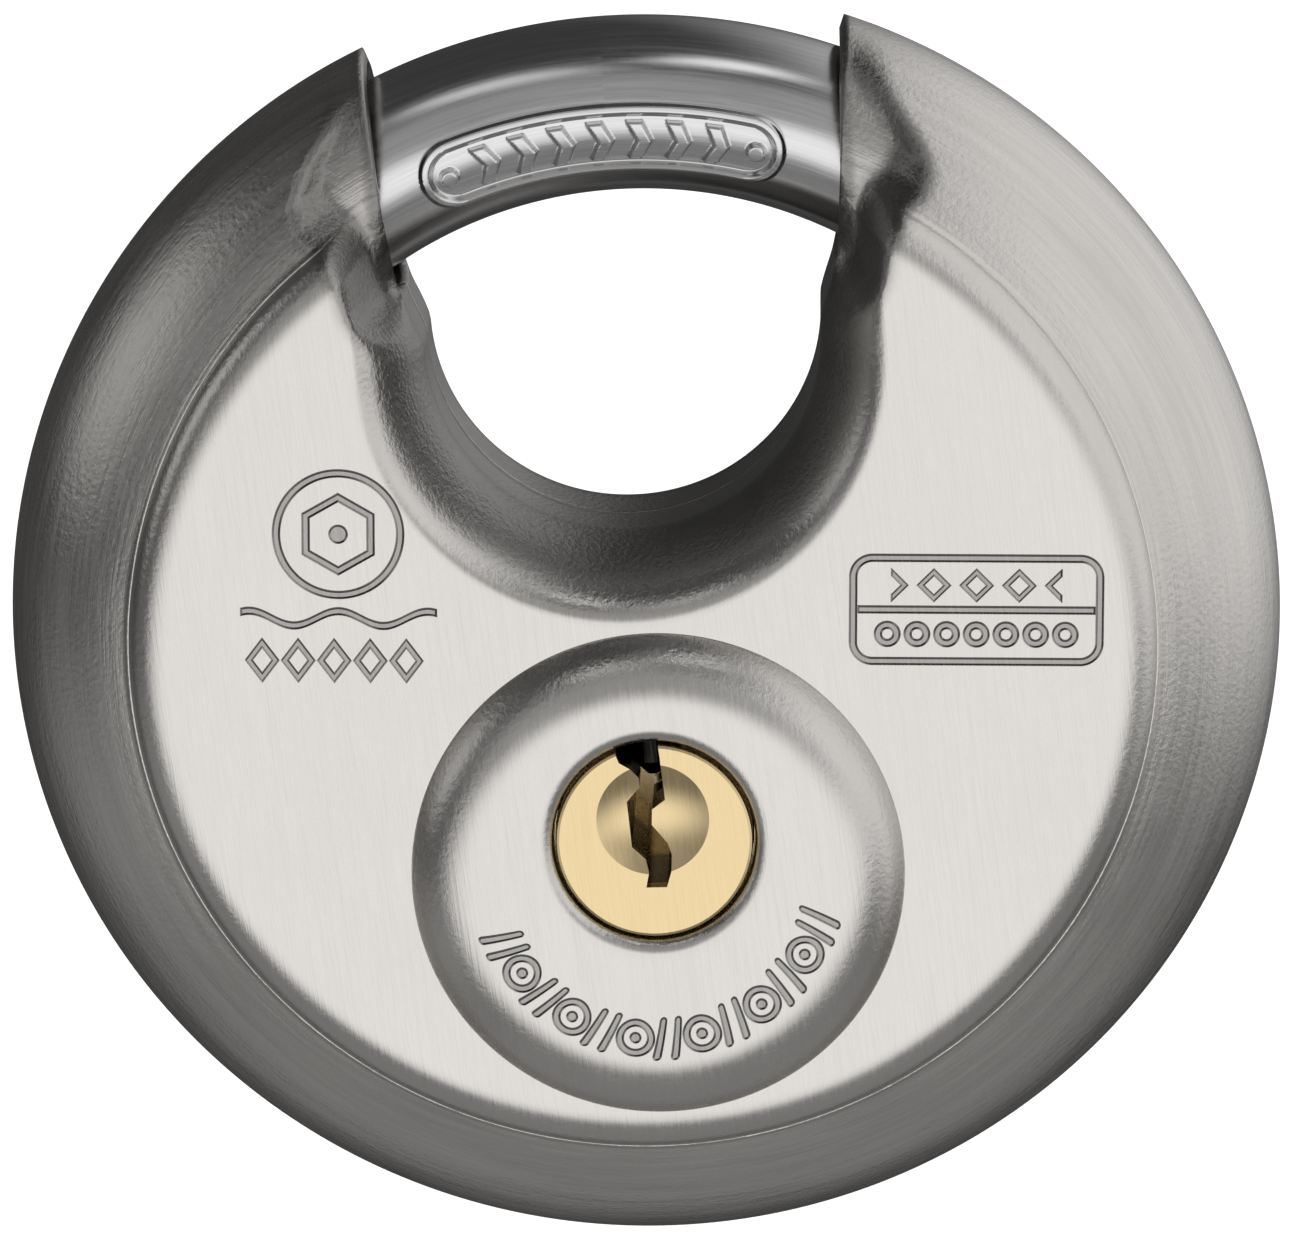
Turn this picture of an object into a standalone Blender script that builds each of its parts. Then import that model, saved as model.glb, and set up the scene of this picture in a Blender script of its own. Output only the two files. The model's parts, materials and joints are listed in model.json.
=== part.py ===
"""Disc padlock: a round stainless-steel case, a curved shackle that turns inside it, and a pin-tumbler cylinder.

Frame: metres, +Z up, the keyhole faces -Y. The origin is the underside of the shackle's crown, where the lock
hangs on a staple. Everything is modelled about the middle of the disc, which an empty carries to its place below
the origin. Angles round the disc are in degrees, clockwise from the top as seen from the keyhole side.

How it works: two drawn shells, welded at the rim, hold a two-part steel core. The shackle is a C of round bar that
slides in the ring channel between core and shells. The plug carries a toothed sector that meshes with notches on
the inside of the shackle, like a pinion in a ring gear, so the key turns the plug and the plug turns the shackle.
"""

import math

import bmesh
import bpy

MM = 0.001

# Case
RIM_R = 35.0 * MM  # outside of the disc
SHEET = 1.35 * MM  # shell thickness
EAR_SHEET = 1.25 * MM  # shell thickness where it is drawn down round the shackle
SEAM = 0.15 * MM  # half the gap between the two shells, and between the two core halves
CREASE_R = 27.9 * MM  # foot of the step between the outer bulge and the flat face
CREASE_DEPTH = 9.5 * MM
FACE_R = 25.6 * MM  # where the flat face begins
FACE_DEPTH = 11.4 * MM
BULGE_SLOPE = math.radians(24)  # how steeply the bulge meets the crease
CASE_STEPS = 56

# Shackle and the opening it closes
BAR_R = 4.75 * MM
BOW_R = 28.5 * MM  # middle of the bar
BAR_GAP = 0.35 * MM
TOE_ANGLE = -41.0  # free end, in the left ear when locked
HEEL_ANGLE = 238.0
TRAVEL = 74.0  # how far the shackle turns to clear the opening
NOTCH_Z = 16.4 * MM  # middle of the U-shaped notch
NOTCH_R = 10.8 * MM
NOTCH_FLARE_R = 15.0 * MM  # where the notch's rounding meets the flat face
NOTCH_WALL_DEPTH = 4.4 * MM  # straight part of the notch wall
EAR_DEPTH = BAR_R + BAR_GAP + EAR_SHEET
EAR_WEB_DEPTH = 4.5 * MM  # depth of the ear between the bar and the notch wall
EAR_FLARE_R = 12.6 * MM
MOUTH_BOTTOM = (11.75 * MM, 18.5 * MM)  # lower corner of the plane that ends each ear
MOUTH_TOP = (13.78 * MM, 38.0 * MM)  # a point of that plane past the rim
NECK = 4.6 * MM  # from an ear's end plane to where the case is drawn down
NECK_Z = 20.5 * MM

# Keyhole boss
BOSS_Z = -12.4 * MM
BOSS_FOOT_R = 13.1 * MM
BOSS_FACE_R = 10.3 * MM
BOSS_DEPTH = 13.6 * MM
KEYHOLE_R = 5.7 * MM

# Cylinder
PLUG_Z = -9.8 * MM
PLUG_R = 5.3 * MM
PLUG_BORE_R = 5.4 * MM
PLUG_FRONT = -13.3 * MM
PLUG_BACK = 0.2 * MM
BARREL_R = 7.0 * MM
BARREL_FRONT = -10.9 * MM
GUARD_FRONT = -11.9 * MM  # drill guard ring
GUARD_BACK = -11.2 * MM
GUARD_R = 7.4 * MM
TOWER_HALF_WIDTH = 2.3 * MM  # block above the barrel that holds the pin chambers
TOWER_FRONT = -9.6 * MM
TOWER_TOP = 1.0 * MM
PIN_COUNT = 4
PIN_PITCH = 2.35 * MM
FIRST_PIN_Y = -8.3 * MM
PIN_R = 0.9 * MM
PIN_BORE_R = 0.97 * MM
KEY_PIN_LENGTHS = (2.3 * MM, 3.1 * MM, 2.7 * MM, 3.4 * MM)
DRIVER_LENGTH = 2.5 * MM
SHEAR_BELOW = -4.62 * MM  # top of the key pins
SHEAR_ABOVE = -4.44 * MM  # bottom of the driver pins
PLUG_BORE_FLOOR = -9.0 * MM
SPRING_R = 0.64 * MM
SPRING_WIRE_R = 0.13 * MM
SPRING_TURNS = 4
COVER_BOTTOM = 1.3 * MM
COVER_TOP = 1.8 * MM

# Drive: a sector pinion on the plug in an internal rack on the shackle
RING_TEETH = 40
PINION_TEETH = 24
MODULE = -2 * PLUG_Z / (RING_TEETH - PINION_TEETH)
RING_PITCH_R = MODULE * RING_TEETH / 2
PINION_PITCH_R = MODULE * PINION_TEETH / 2
PRESSURE = math.radians(20)
ADDENDUM = 0.8 * MODULE
DEDENDUM = 1.1 * MODULE
BACKLASH = 0.06 * MM  # taken from each side of a tooth, and added to each side of a notch
FIRST_TOOTH = -1  # teeth are counted anticlockwise from the one at the bottom
LAST_TOOTH = 9
DRIVE_FRONT = 0.6 * MM
DRIVE_BACK = 3.2 * MM
HUB_R = 6.6 * MM
TANG_HALF = 2.4 * MM
TANG_BACK = 3.5 * MM

# Core
CORE_DEPTH = FACE_DEPTH - SHEET - 0.3 * MM
CORE_FACE_R = 24.2 * MM
CORE_R = 26.9 * MM
CORE_EDGE_DEPTH = 6.6 * MM
CORE_GAP = 0.3 * MM
RIVETS = ((-17.5, 6.0), (17.5, 6.0), (-19.4, -7.0), (19.4, -7.0))  # mm, x and z
RIVET_R = 1.3 * MM
RIVET_HEAD_R = 2.3 * MM
RIVET_HEAD = 1.0 * MM

STAINLESS = ("stainless_steel", (0.62, 0.61, 0.59), 0.34, 1.0)
HARDENED = ("hardened_steel", (0.55, 0.55, 0.55), 0.25, 1.0)
ZINC_STEEL = ("zinc_plated_steel", (0.60, 0.62, 0.64), 0.45, 1.0)
BRASS = ("brass", (0.80, 0.62, 0.32), 0.30, 1.0)
NICKEL_SILVER = ("nickel_silver", (0.72, 0.68, 0.58), 0.30, 1.0)
SPRING_STEEL = ("spring_steel", (0.45, 0.46, 0.48), 0.35, 1.0)


def clear_scene():
    for obj in list(bpy.data.objects):
        bpy.data.objects.remove(obj)


def new_collection(name):
    made = bpy.data.collections.new(name)
    bpy.context.scene.collection.children.link(made)
    return made


def material(spec):
    """The Principled material of (name, colour, roughness, metallic)."""
    name, colour, roughness, metallic = spec
    made = bpy.data.materials.get(name)
    if made is None:
        made = bpy.data.materials.new(name)
        made.use_nodes = True
        shader = made.node_tree.nodes["Principled BSDF"]
        shader.inputs["Base Color"].default_value = (*colour, 1)
        shader.inputs["Roughness"].default_value = roughness
        shader.inputs["Metallic"].default_value = metallic
        made.diffuse_color = (*colour, 1)
    return made


clear_scene()
PARTS = new_collection("disc_padlock")
CUTTERS = new_collection("cutters")
CENTRE = bpy.data.objects.new("disc_centre", None)
CENTRE.location = (0, 0, -(BOW_R - BAR_R))
PARTS.objects.link(CENTRE)


def place(obj, location=(0, 0, 0)):
    """Parents obj to the disc's middle, as a helper until finish() makes it a part."""
    for holder in list(obj.users_collection):
        holder.objects.unlink(obj)
    CUTTERS.objects.link(obj)
    obj.parent = CENTRE
    obj.location = location
    obj.hide_render = True
    obj.display_type = "WIRE"
    return obj


def finish(obj, spec):
    """Makes obj a visible part of this material."""
    CUTTERS.objects.unlink(obj)
    PARTS.objects.link(obj)
    obj.hide_render = False
    obj.display_type = "TEXTURED"
    obj.data.materials.clear()
    obj.data.materials.append(material(spec))
    for polygon in getattr(obj.data, "polygons", []):
        polygon.use_smooth = False
    return obj


def turned(name, profile, x=0.0, z=0.0, steps=CASE_STEPS, closed=False):
    """A profile of (radius, y) points, turned about the line along Y through x, z."""
    mesh = bpy.data.meshes.new(name)
    edges = [(i, i + 1) for i in range(len(profile) - 1)]
    if closed:
        edges.append((len(profile) - 1, 0))
    mesh.from_pydata([(radius, y, 0) for radius, y in profile], edges, [])
    obj = place(bpy.data.objects.new(name, mesh), (x, 0, z))
    screw = obj.modifiers.new("turn", "SCREW")
    screw.axis = "Y"
    screw.steps = screw.render_steps = steps
    screw.use_merge_vertices = True
    screw.merge_threshold = 1e-6
    screw.use_normal_calculate = True
    screw.use_smooth_shade = False
    return made_mesh(obj)


def made_mesh(obj):
    """obj, a curve or an object with modifiers, as a plain welded mesh object whose faces point out."""
    bpy.context.view_layer.update()
    graph = bpy.context.evaluated_depsgraph_get()
    mesh = bpy.data.meshes.new_from_object(obj.evaluated_get(graph))
    shape = bmesh.new()
    shape.from_mesh(mesh)
    bmesh.ops.remove_doubles(shape, verts=shape.verts, dist=1e-7)
    bmesh.ops.recalc_face_normals(shape, faces=shape.faces)
    shape.to_mesh(mesh)
    shape.free()
    name = obj.name
    world = obj.matrix_world.copy()
    bpy.data.objects.remove(obj)
    plain = place(bpy.data.objects.new(name, mesh))
    bpy.context.view_layer.update()
    plain.matrix_world = world
    return plain


def outline_solid(name, outline, front, back, x=0.0, z=0.0):
    """A flat outline of (x, z) points, made thick along Y from front to back."""
    curve = bpy.data.curves.new(name, "CURVE")
    curve.dimensions = "2D"
    curve.fill_mode = "BOTH"
    curve.extrude = (back - front) / 2
    spline = curve.splines.new("POLY")
    spline.points.add(len(outline) - 1)
    for point, (across, up) in zip(spline.points, outline):
        point.co = (across, up, 0, 1)
    spline.use_cyclic_u = True
    obj = place(bpy.data.objects.new(name, curve), (x, (front + back) / 2, z))
    obj.rotation_euler = (math.radians(90), 0, 0)
    return made_mesh(obj)


def rod(name, radius, start, end, sides=32):
    """A round rod from one point to another, along Y or Z."""
    bpy.ops.mesh.primitive_cylinder_add(vertices=sides, radius=radius, depth=math.dist(start, end))
    obj = bpy.context.object
    obj.name = name
    middle = [(a + b) / 2 for a, b in zip(start, end)]
    place(obj, middle)
    if abs(end[1] - start[1]) > abs(end[2] - start[2]):
        obj.rotation_euler = (math.radians(90), 0, 0)
    return obj


def combine(target, other, operation):
    change = target.modifiers.new(other.name, "BOOLEAN")
    change.operation = operation
    change.solver = "EXACT"
    change.object = other
    return target


def cut(target, *cutters):
    for cutter in cutters:
        combine(target, cutter, "DIFFERENCE")
    return target


def join(target, *others):
    for other in others:
        combine(target, other, "UNION")
    return target


def arc(centre_x, centre_y, radius_x, radius_y, start, end, count):
    """Points of an ellipse's arc, with start and end in degrees from its +X."""
    angles = [math.radians(start + (end - start) * i / count) for i in range(count + 1)]
    return [(centre_x + radius_x * math.cos(a), centre_y + radius_y * math.sin(a)) for a in angles]


def bezier(a, b, c, d, count):
    """Points of a cubic curve after its first point."""
    points = []
    for i in range(1, count + 1):
        t = i / count
        weights = ((1 - t) ** 3, 3 * t * (1 - t) ** 2, 3 * t * t * (1 - t), t**3)
        points.append(tuple(sum(w * p[k] for w, p in zip(weights, (a, b, c, d))) for k in (0, 1)))
    return points


def inset(profile, amount):
    """The open profile moved to its right-hand side by amount, with mitred corners."""
    moved = []
    for i, (x, y) in enumerate(profile):
        sides = []
        for first, second in ((i - 1, i), (i, i + 1)):
            if first >= 0 and second < len(profile):
                dx = profile[second][0] - profile[first][0]
                dy = profile[second][1] - profile[first][1]
                length = math.hypot(dx, dy)
                sides.append((dy / length, -dx / length))
        nx = sum(side[0] for side in sides) / len(sides)
        ny = sum(side[1] for side in sides) / len(sides)
        square = nx * nx + ny * ny
        moved.append((x + amount * nx / square, y + amount * ny / square))
    return moved


# Profiles, as (radius, depth) with depth positive towards the face


def bulge_profile():
    """From the rim at the seam, over the bulge, to the crease, up the step and on to the flat face."""
    rim, crease = (RIM_R, 0.0), (CREASE_R, CREASE_DEPTH)
    over = (RIM_R, 4.3 * MM)
    into = (
        CREASE_R + 3.7 * MM * math.cos(BULGE_SLOPE),
        CREASE_DEPTH - 3.7 * MM * math.sin(BULGE_SLOPE),
    )
    step = bezier(
        crease,
        (CREASE_R - 0.5 * MM, CREASE_DEPTH + 0.9 * MM),
        (CREASE_R - 1.0 * MM, FACE_DEPTH),
        (FACE_R, FACE_DEPTH),
        4,
    )
    return [rim, *bezier(rim, over, into, crease, 8), *step]


def ear_profile():
    """From the rim over the bar's own roundness, then level towards the notch wall."""
    round_part = arc(BOW_R, 0, EAR_DEPTH, EAR_DEPTH, 0, 135, 8)
    return [*round_part, (NOTCH_R, EAR_WEB_DEPTH)]


def notch_profile(wall_r, wall_depth, flare_r, top):
    """The notch wall from the seam, rounding out to flare_r at depth top."""
    rounding = arc(flare_r, wall_depth, flare_r - wall_r, top - wall_depth, 180, 90, 6)
    return [(wall_r, 0.0), *rounding]


def closed_to_axis(profile, seam, side):
    """The profile closed through the axis at the seam's depth, on the front (-1) or back (+1) side."""
    outer = [(radius, side * depth) for radius, depth in profile if depth > seam]
    return [(0, side * seam), (profile[0][0], side * seam), *outer, (0, side * profile[-1][1])]


def disc_solid(name, profile, seam, side):
    return turned(name, closed_to_axis(profile, seam, side))


def notch_cutter(name, profile, side):
    """A solid of the notch's inside: the profile with the air in front of it, past the seam and past the face."""
    flare_r, top = profile[-1]
    past_seam, past_face = -side * 2 * MM, side * 20 * MM
    wall = [(radius, side * depth) for radius, depth in profile]
    outline = [(0, past_seam), (profile[0][0], past_seam), *wall, (flare_r, past_face), (0, past_face)]
    return turned(name, outline, z=NOTCH_Z)


def mouth_cutter(name, outwards=0.0, bottom=MOUTH_BOTTOM[1]):
    """The wedge between the two ears, grown outwards and starting at a height."""
    slope = (MOUTH_TOP[0] - MOUTH_BOTTOM[0]) / (MOUTH_TOP[1] - MOUTH_BOTTOM[1])
    low = MOUTH_BOTTOM[0] + outwards + slope * (bottom - MOUTH_BOTTOM[1])
    high = MOUTH_TOP[0] + outwards
    outline = [(-low, bottom), (low, bottom), (high, MOUTH_TOP[1]), (-high, MOUTH_TOP[1])]
    return outline_solid(name, outline, -25 * MM, 25 * MM)


def offset_from(profile, amount):
    """The profile moved into the case by amount. Its ends stay on the seam and on the axis side."""
    moved = inset(profile, -amount)
    moved[0] = (moved[0][0], profile[0][1])
    return moved


def shell(name, side, boss):
    """One drawn half of the case. side is -1 for the keyhole side."""
    whole, hollow = case_solids(name, side, 0.0, SEAM), case_solids(name + "_hollow", side, SHEET, -1 * MM)
    cut(whole, mouth_cutter(name + "_mouth"))
    if boss:
        join(whole, boss_solid(name + "_boss", 0.0))
        join(hollow, boss_solid(name + "_boss_hollow", SHEET))
    cut(whole, hollow)
    if boss:
        start, end = (0, -20 * MM, PLUG_Z), (0, -5 * MM, PLUG_Z)
        cut(whole, rod(name + "_keyhole", KEYHOLE_R, start, end, 48))
    return finish(whole, STAINLESS)


def case_solids(name, side, sheet, seam):
    """The disc with its notch, drawn down near the mouth, and the ears that guide the bar. sheet insets it all."""
    ear_sheet = EAR_SHEET if sheet else 0.0
    main = disc_solid(name, offset_from(bulge_profile(), sheet), seam, side)
    wide = notch_profile(NOTCH_R, NOTCH_WALL_DEPTH, NOTCH_FLARE_R, FACE_DEPTH + 0.05 * MM)
    wide = [(r + sheet, max(d, 0.0)) for r, d in wide]
    neck = mouth_cutter(name + "_neck", NECK + sheet, NECK_Z - sheet)
    cut(main, notch_cutter(name + "_notch", wide, side), neck)

    level = [(r, d) for r, d in ear_profile()]
    if sheet:
        level = [(r, max(d, 0.0)) for r, d in offset_from(level, ear_sheet)]
    ears = disc_solid(name + "_ears", level, seam + (0.06 if seam > 0 else -0.7) * MM, side)
    narrow = notch_profile(NOTCH_R + 0.04 * MM, 2.0 * MM, EAR_FLARE_R, EAR_WEB_DEPTH + 0.05 * MM)
    narrow = [(r + sheet, d) for r, d in narrow]
    narrow.append((narrow[-1][0] + 0.02 * MM, EAR_DEPTH + 1 * MM))
    cut(ears, notch_cutter(name + "_ear_notch", narrow, side))
    return join(main, ears)


def boss_solid(name, sheet):
    """The round boss round the keyhole, standing on the face, or its hollow."""
    foot, face, top = BOSS_FOOT_R - sheet, BOSS_FACE_R - 0.6 * sheet, BOSS_DEPTH - sheet
    base = FACE_DEPTH - sheet
    slope = bezier(
        (foot, base),
        (foot - 0.8 * MM, base + 1.2 * MM),
        (foot - 1.3 * MM, top),
        (face, top),
        5,
    )
    sunk = 4.0 * MM
    profile = [(0, -sunk), (foot, -sunk), (foot, -base)]
    profile += [(r, -d) for r, d in slope] + [(0, -top)]
    return turned(name, profile, z=BOSS_Z, steps=56)


def front_shell():
    return shell("front_shell", -1, True)


def rear_shell():
    return shell("rear_shell", 1, False)


# Shackle and drive


def on_ring(radius, angle):
    """(x, z) at this many degrees clockwise from the top."""
    turn = math.radians(angle)
    return radius * math.sin(turn), radius * math.cos(turn)


def involute(angle):
    return math.tan(angle) - angle


def tooth_half_angle(radius, pitch_r, teeth, allowance):
    """Half the angle, in degrees, that an involute tooth fills at this radius. Below the base circle it is radial."""
    base_r = pitch_r * math.cos(PRESSURE)
    at_pitch = math.pi / (2 * teeth) + allowance / pitch_r
    lean = math.acos(min(1.0, base_r / radius))
    return math.degrees(at_pitch + involute(PRESSURE) - involute(lean))


def toothed_edge(pitch_r, teeth, root_r, tip_r, allowance, flank_points=4):
    """The outline of the drive's teeth, from the first to the last, anticlockwise from the bottom."""
    pitch = 360 / teeth
    radii = [root_r + (tip_r - root_r) * i / flank_points for i in range(flank_points + 1)]
    points = []
    for count in range(FIRST_TOOTH, LAST_TOOTH + 1):
        middle = 180 - count * pitch
        halves = [(r, tooth_half_angle(r, pitch_r, teeth, allowance)) for r in radii]
        points += [on_ring(r, middle + half) for r, half in halves]
        points += [on_ring(r, middle - half) for r, half in reversed(halves)]
    return points


def notch_row():
    """The cutter for the shackle's notches: a curved comb on a backing strip inside the ring."""
    strip_outer, strip_inner = BOW_R - BAR_R - 0.5 * MM, BOW_R - BAR_R - 2.5 * MM
    edge = toothed_edge(RING_PITCH_R, RING_TEETH, strip_outer, RING_PITCH_R + DEDENDUM, BACKLASH)
    pitch = 360 / RING_TEETH
    ends = (180 - LAST_TOOTH * pitch - pitch / 2, 180 - FIRST_TOOTH * pitch + pitch / 2)
    back = [on_ring(strip_inner, ends[0] + (ends[1] - ends[0]) * i / 12) for i in range(13)]
    return outline_solid("notch_row", edge + back, DRIVE_FRONT - 0.3 * MM, DRIVE_BACK + 0.3 * MM)


def shackle():
    steps = 62
    curve = bpy.data.curves.new("shackle", "CURVE")
    curve.dimensions = "3D"
    curve.bevel_depth = BAR_R
    curve.bevel_resolution = 6
    curve.use_fill_caps = True
    spline = curve.splines.new("POLY")
    spline.points.add(steps)
    for i, point in enumerate(spline.points):
        x, z = on_ring(BOW_R, TOE_ANGLE + (HEEL_ANGLE - TOE_ANGLE) * i / steps)
        point.co = (x, 0, z, 1)
    bar = made_mesh(place(bpy.data.objects.new("shackle", curve)))
    return finish(cut(bar, notch_row()), HARDENED)


def driver_sector():
    """The toothed sector on the plug's tail, with a square hole for the tang."""
    root_r, tip_r = PINION_PITCH_R - DEDENDUM, PINION_PITCH_R + ADDENDUM
    edge = toothed_edge(PINION_PITCH_R, PINION_TEETH, root_r, tip_r, -BACKLASH)
    pitch = 360 / PINION_TEETH
    first, last = 180 - FIRST_TOOTH * pitch + pitch / 2, 180 - LAST_TOOTH * pitch - pitch / 2
    around = 360 - (first - last)
    hub = [on_ring(HUB_R, last - around * i / 16) for i in range(17)]
    outline = [on_ring(root_r, first), *edge, on_ring(root_r, last), *hub]
    plate = outline_solid("driver_sector", outline, DRIVE_FRONT, DRIVE_BACK, z=PLUG_Z)
    half = TANG_HALF + 0.3 * MM
    hole = [(-half, -half), (half, -half), (half, half), (-half, half)]
    cut(plate, outline_solid("tang_hole", hole, -2 * MM, 6 * MM, z=PLUG_Z))
    return finish(plate, ZINC_STEEL)


# Cylinder


def keyway_outline():
    """The warded slot, from the plug's top edge to below its middle, in millimetres about the plug's axis."""
    left = [(-1.35, 6.2), (-1.35, 4.3), (-0.45, 3.6), (-0.4, 3.0), (-1.2, 2.1), (-1.25, -0.4), (-0.55, -1.1)]
    foot = [(-0.75, -2.6), (0.3, -2.6)]
    right = [(0.75, -1.7), (0.85, -0.7), (-0.05, 0.7), (-0.1, 1.5), (0.7, 2.0), (0.75, 6.2)]
    return [(x * MM, z * MM) for x, z in left + foot + right]


def pin_places():
    return [FIRST_PIN_Y + PIN_PITCH * i for i in range(PIN_COUNT)]


def plug():
    body = rod("plug", PLUG_R, (0, PLUG_FRONT, PLUG_Z), (0, PLUG_BACK, PLUG_Z), 40)
    half = TANG_HALF
    square = [(-half, -half), (half, -half), (half, half), (-half, half)]
    join(body, outline_solid("tang", square, PLUG_BACK - 1 * MM, TANG_BACK, z=PLUG_Z))
    dish_rim, dish_depth = 2.9 * MM, 1.0 * MM
    dish = [
        (0, PLUG_FRONT + dish_depth),
        (1.4 * MM, PLUG_FRONT + 0.8 * dish_depth),
        (dish_rim, PLUG_FRONT),
        (dish_rim + 1 * MM, PLUG_FRONT - 1 * MM),
        (0, PLUG_FRONT - 1 * MM),
    ]
    cut(body, turned("plug_dish", dish, z=PLUG_Z + 1.2 * MM, steps=28))
    cut(body, outline_solid("keyway", keyway_outline(), -20 * MM, PLUG_BACK - 0.6 * MM, z=PLUG_Z))
    for number, y in enumerate(pin_places(), 1):
        cut(body, rod(f"plug_bore_{number}", PIN_BORE_R, (0, y, PLUG_BORE_FLOOR), (0, y, 0), 16))
    screw_hole = rod("screw_hole", 1.3 * MM, (0, 0.8 * MM, PLUG_Z), (0, 6 * MM, PLUG_Z), 16)
    return finish(cut(body, screw_hole), BRASS)


def cylinder_body():
    back = PLUG_BACK - 0.1 * MM
    body = rod("cylinder_body", BARREL_R, (0, BARREL_FRONT, PLUG_Z), (0, back, PLUG_Z), 40)
    wide = TOWER_HALF_WIDTH
    tower = [(-wide, PLUG_Z), (wide, PLUG_Z), (wide, TOWER_TOP), (-wide, TOWER_TOP)]
    join(body, outline_solid("tower", tower, TOWER_FRONT, back - 0.05 * MM))
    cut(body, rod("plug_bore", PLUG_BORE_R, (0, -20 * MM, PLUG_Z), (0, 5 * MM, PLUG_Z), 40))
    for number, y in enumerate(pin_places(), 1):
        chamber = rod(f"chamber_{number}", PIN_BORE_R, (0, y, PLUG_Z), (0, y, 4 * MM), 16)
        cut(body, chamber)
    return finish(body, BRASS)


def chamber_cover():
    half = TOWER_HALF_WIDTH - 0.2 * MM
    strip = [(-half, COVER_BOTTOM), (half, COVER_BOTTOM), (half, COVER_TOP), (-half, COVER_TOP)]
    return finish(outline_solid("chamber_cover", strip, TOWER_FRONT + 0.2 * MM, -0.3 * MM), BRASS)


def drill_guard_ring():
    hole_r = PLUG_R + 0.4 * MM
    ring = [(GUARD_R, GUARD_FRONT), (GUARD_R, GUARD_BACK), (hole_r, GUARD_BACK), (hole_r, GUARD_FRONT)]
    return finish(turned("drill_guard_ring", ring, z=PLUG_Z, steps=40, closed=True), HARDENED)


def pins_and_springs():
    for number, (y, length) in enumerate(zip(pin_places(), KEY_PIN_LENGTHS), 1):
        point = 0.5 * MM  # height of the conical tip that rides on the key
        low = SHEAR_BELOW - length
        pin = rod(f"key_pin_{number}", PIN_R, (0, y, low + point), (0, y, SHEAR_BELOW), 16)
        bpy.ops.mesh.primitive_cone_add(vertices=16, radius1=0.35 * MM, radius2=PIN_R, depth=point + 0.1 * MM)
        tip = bpy.context.object
        tip.name = f"key_pin_tip_{number}"
        place(tip, (0, y, low + (point + 0.1 * MM) / 2))
        finish(join(pin, tip), NICKEL_SILVER)
        driver_top = SHEAR_ABOVE + DRIVER_LENGTH
        driver = rod(f"driver_pin_{number}", PIN_R, (0, y, SHEAR_ABOVE), (0, y, driver_top), 16)
        finish(driver, NICKEL_SILVER)
        finish(spring(f"pin_spring_{number}", y, driver_top + 0.15 * MM, COVER_BOTTOM - 0.15 * MM), SPRING_STEEL)


def spring(name, y, bottom, top):
    """A coil standing on a driver pin."""
    per_turn = 8
    count = int(SPRING_TURNS * per_turn)
    low, high = bottom + SPRING_WIRE_R, top - SPRING_WIRE_R
    curve = bpy.data.curves.new(name, "CURVE")
    curve.dimensions = "3D"
    curve.bevel_depth = SPRING_WIRE_R
    curve.bevel_resolution = 1
    curve.use_fill_caps = True
    spline = curve.splines.new("POLY")
    spline.points.add(count)
    for i, point in enumerate(spline.points):
        turn = 2 * math.pi * i / per_turn
        height = low + (high - low) * i / count
        point.co = (SPRING_R * math.cos(turn), y + SPRING_R * math.sin(turn), height, 1)
    return place(bpy.data.objects.new(name, curve))


def tail_fasteners():
    """The washer and screw that hold the sector on the plug's tail."""
    front = TANG_BACK + 0.3 * MM
    back = front + 0.5 * MM
    hole_r, washer_r = 1.5 * MM, 3.6 * MM
    washer = [(washer_r, front), (washer_r, back), (hole_r, back), (hole_r, front)]
    finish(turned("tail_washer", washer, z=PLUG_Z, steps=28, closed=True), ZINC_STEEL)
    head = back + 0.3 * MM
    profile = [(0, 1.2 * MM), (1.0 * MM, 1.2 * MM), (1.0 * MM, head), (2.2 * MM, head)]
    profile += [(2.2 * MM, head + 0.8 * MM), (1.7 * MM, head + 1.2 * MM), (0, head + 1.2 * MM)]
    screw = turned("tail_screw", profile, z=PLUG_Z, steps=24)
    slot = [(-3 * MM, -0.25 * MM), (3 * MM, -0.25 * MM), (3 * MM, 0.25 * MM), (-3 * MM, 0.25 * MM)]
    cut(screw, outline_solid("screw_slot", slot, head + 0.6 * MM, head + 3 * MM, z=PLUG_Z))
    finish(screw, ZINC_STEEL)


# Core


def core_half(name, side):
    """Half of the block that fills the case inside the ring channel."""
    channel_r = BAR_R + BAR_GAP
    lip = math.degrees(math.acos((CORE_R - BOW_R) / channel_r))
    channel = arc(BOW_R, 0, channel_r, channel_r, 180, lip, 6)
    profile = [*channel, (CORE_R, CORE_EDGE_DEPTH), (CORE_FACE_R, CORE_DEPTH)]
    block = disc_solid(name, profile, SEAM, side)
    clear = SHEET + CORE_GAP
    wide = notch_profile(NOTCH_R, NOTCH_WALL_DEPTH, NOTCH_FLARE_R, FACE_DEPTH + 0.05 * MM)
    wide = [(r + clear, max(d, 0.0)) for r, d in wide]
    neck = mouth_cutter(name + "_neck", NECK + clear + 0.4 * MM, 17.5 * MM)
    cut(block, notch_cutter(name + "_notch", wide, side), neck)
    for number, (x, z) in enumerate(RIVETS, 1):
        start, end = (x * MM, -12 * MM, z * MM), (x * MM, 12 * MM, z * MM)
        cut(block, rod(f"{name}_rivet_hole_{number}", RIVET_R + 0.3 * MM, start, end, 16))
        inner = side * (CORE_DEPTH - RIVET_HEAD - 0.3 * MM)
        seat = rod(
            f"{name}_rivet_seat_{number}",
            RIVET_HEAD_R + 0.3 * MM,
            (x * MM, inner, z * MM),
            (x * MM, side * 12 * MM, z * MM),
            20,
        )
        cut(block, seat)
    return block


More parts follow.
